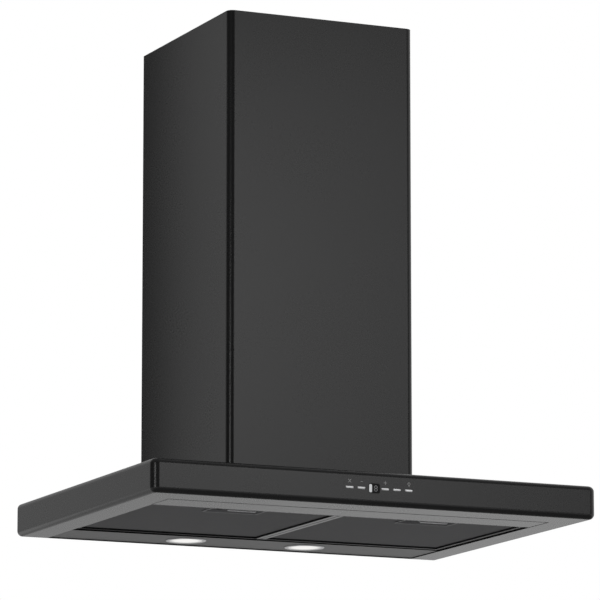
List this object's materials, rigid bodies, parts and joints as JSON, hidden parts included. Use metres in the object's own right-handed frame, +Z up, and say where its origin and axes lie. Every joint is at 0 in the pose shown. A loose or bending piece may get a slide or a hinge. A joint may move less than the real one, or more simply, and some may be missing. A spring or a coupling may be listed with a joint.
{
  "type": "chimney range hood",
  "caption": "Wall-hung T-shaped chimney range hood: flat canopy with drop-down grease filters, lamps and bar buttons, telescopic rectangular chimney and blower inside.",
  "frame": {"origin": "on the wall plane, on the hood's centre line, level with the canopy's lowest face", "axes": "+X to the right as seen from the front, +Y into the wall, +Z up along the chimney"},
  "size_m": [0.6, 0.4507, 0.648],
  "materials": {
    "black_steel": "satin black powder coat, finely textured",
    "black_panel": "satin dark grey coat on the underside panels",
    "filter_border": "satin dark grey coat",
    "filter_mesh": "dark expanded mesh",
    "latch_plastic": "moulded, matt",
    "latch_grip": "satin metal",
    "spring_steel": "drawn steel",
    "lamp_metal": "satin ring",
    "lamp_glass": "frosted, lit",
    "heat_sink": "die-cast",
    "button_metal": "bright satin chrome",
    "display_black": "glossy black window",
    "display_light": "bright white bar",
    "control_plastic": "moulded, matt",
    "circuit_board": "green solder mask",
    "galvanised": "zinc-coated sheet with a faint spangle",
    "blower_plastic": "moulded, matt",
    "wheel_plastic": "moulded, matt",
    "motor_steel": "grey enamel",
    "shaft_steel": "ground steel",
    "gasket_rubber": "soft black rubber",
    "collar_plastic": "moulded, matt",
    "case_plastic": "light grey, moulded",
    "capacitor_shell": "off-white shell",
    "gland_plastic": "black nylon",
    "screw_zinc": "zinc-plated"
  },
  "bodies": {
    "hood": {"canopy_shell": "black_steel", "front_cross_panel": "black_panel", "lamp_panel": "black_panel", "lamp_bezel_left": "lamp_metal", "lamp_bezel_right": "lamp_metal", "lamp_lens_left": "lamp_glass", "lamp_lens_right": "lamp_glass", "lamp_body_left": "heat_sink", "lamp_body_right": "heat_sink", "lamp_clips": "spring_steel", "control_housing": "control_plastic", "control_board": "circuit_board", "display_window": "display_black", "display_bar": "display_light", "chimney_lower_cover": "black_steel", "cover_stops": "galvanised", "cover_screws": "screw_zinc", "mounting_frame": "galvanised", "wall_hooks": "galvanised", "levelling_screws": "screw_zinc", "blower_casing": "galvanised", "casing_screws": "screw_zinc", "scroll_left": "blower_plastic", "scroll_right": "blower_plastic", "inlet_ring_left": "blower_plastic", "inlet_ring_right": "blower_plastic", "motor_bracket": "motor_steel", "motor_body": "motor_steel", "outlet_transition": "blower_plastic", "outlet_gasket": "gasket_rubber", "outlet_collar": "collar_plastic", "collar_screws": "screw_zinc", "flap_pin": "shaft_steel", "electronics_case": "case_plastic", "electronics_lid": "case_plastic", "run_capacitor": "capacitor_shell", "cable_gland": "gland_plastic"},
    "upper_chimney": {"chimney_upper_cover": "black_steel", "ceiling_bracket": "galvanised", "bracket_screws": "screw_zinc"},
    "wheel": {"impeller": "wheel_plastic", "motor_shaft": "shaft_steel"},
    "flap_front": {"flap_front": "collar_plastic"},
    "flap_rear": {"flap_rear": "collar_plastic"},
    "filter_left": {"filter_frame_left": "filter_border", "filter_mesh_left": "filter_mesh", "latch_housing_left": "latch_plastic", "latch_spring_left": "spring_steel"},
    "latch_left": {"latch_slider_left": "latch_grip"},
    "filter_right": {"filter_frame_right": "filter_border", "filter_mesh_right": "filter_mesh", "latch_housing_right": "latch_plastic", "latch_spring_right": "spring_steel"},
    "latch_right": {"latch_slider_right": "latch_grip"},
    "button_fan_off": {"button_fan_off": "button_metal"},
    "button_slower": {"button_slower": "button_metal"},
    "button_faster": {"button_faster": "button_metal"},
    "button_timer": {"button_timer": "button_metal"},
    "button_light": {"button_light": "button_metal"}
  },
  "joints": [
    {"name": "upper_chimney_rise", "type": "slide", "parent": "hood", "child": "upper_chimney", "axis": [0, 0, 1], "range_m": [0, 0.36]},
    {"name": "wheel_spin", "type": "hinge", "parent": "hood", "child": "wheel", "pos_m": [0, -0.168, 0.139], "axis": [1, 0, 0], "continuous": true},
    {"name": "flap_front_open", "type": "hinge", "parent": "hood", "child": "flap_front", "pos_m": [0, -0.125, 0.292], "axis": [-1, 0, 0], "range_deg": [0, 75]},
    {"name": "flap_rear_open", "type": "hinge", "parent": "hood", "child": "flap_rear", "pos_m": [0, -0.125, 0.292], "axis": [1, 0, 0], "range_deg": [0, 75]},
    {"name": "filter_left_drop", "type": "hinge", "parent": "hood", "child": "filter_left", "pos_m": [-0.12937, -0.086, 0.003], "axis": [1, 0, 0], "range_deg": [0, 50]},
    {"name": "latch_left_pull", "type": "slide", "parent": "filter_left", "child": "latch_left", "axis": [0, 1, 0], "range_m": [0, 0.004], "stiffness_N_per_m": 300, "deforming": ["latch_spring_left"]},
    {"name": "filter_right_drop", "type": "hinge", "parent": "hood", "child": "filter_right", "pos_m": [0.12937, -0.086, 0.003], "axis": [1, 0, 0], "range_deg": [0, 50]},
    {"name": "latch_right_pull", "type": "slide", "parent": "filter_right", "child": "latch_right", "axis": [0, 1, 0], "range_m": [0, 0.004], "stiffness_N_per_m": 300, "deforming": ["latch_spring_right"]},
    {"name": "button_fan_off_press", "type": "slide", "parent": "hood", "child": "button_fan_off", "axis": [0, 1, 0], "range_m": [0, 0.0012], "stiffness_N_per_m": 900},
    {"name": "button_slower_press", "type": "slide", "parent": "hood", "child": "button_slower", "axis": [0, 1, 0], "range_m": [0, 0.0012], "stiffness_N_per_m": 900},
    {"name": "button_faster_press", "type": "slide", "parent": "hood", "child": "button_faster", "axis": [0, 1, 0], "range_m": [0, 0.0012], "stiffness_N_per_m": 900},
    {"name": "button_timer_press", "type": "slide", "parent": "hood", "child": "button_timer", "axis": [0, 1, 0], "range_m": [0, 0.0012], "stiffness_N_per_m": 900},
    {"name": "button_light_press", "type": "slide", "parent": "hood", "child": "button_light", "axis": [0, 1, 0], "range_m": [0, 0.0012], "stiffness_N_per_m": 900}
  ]
}
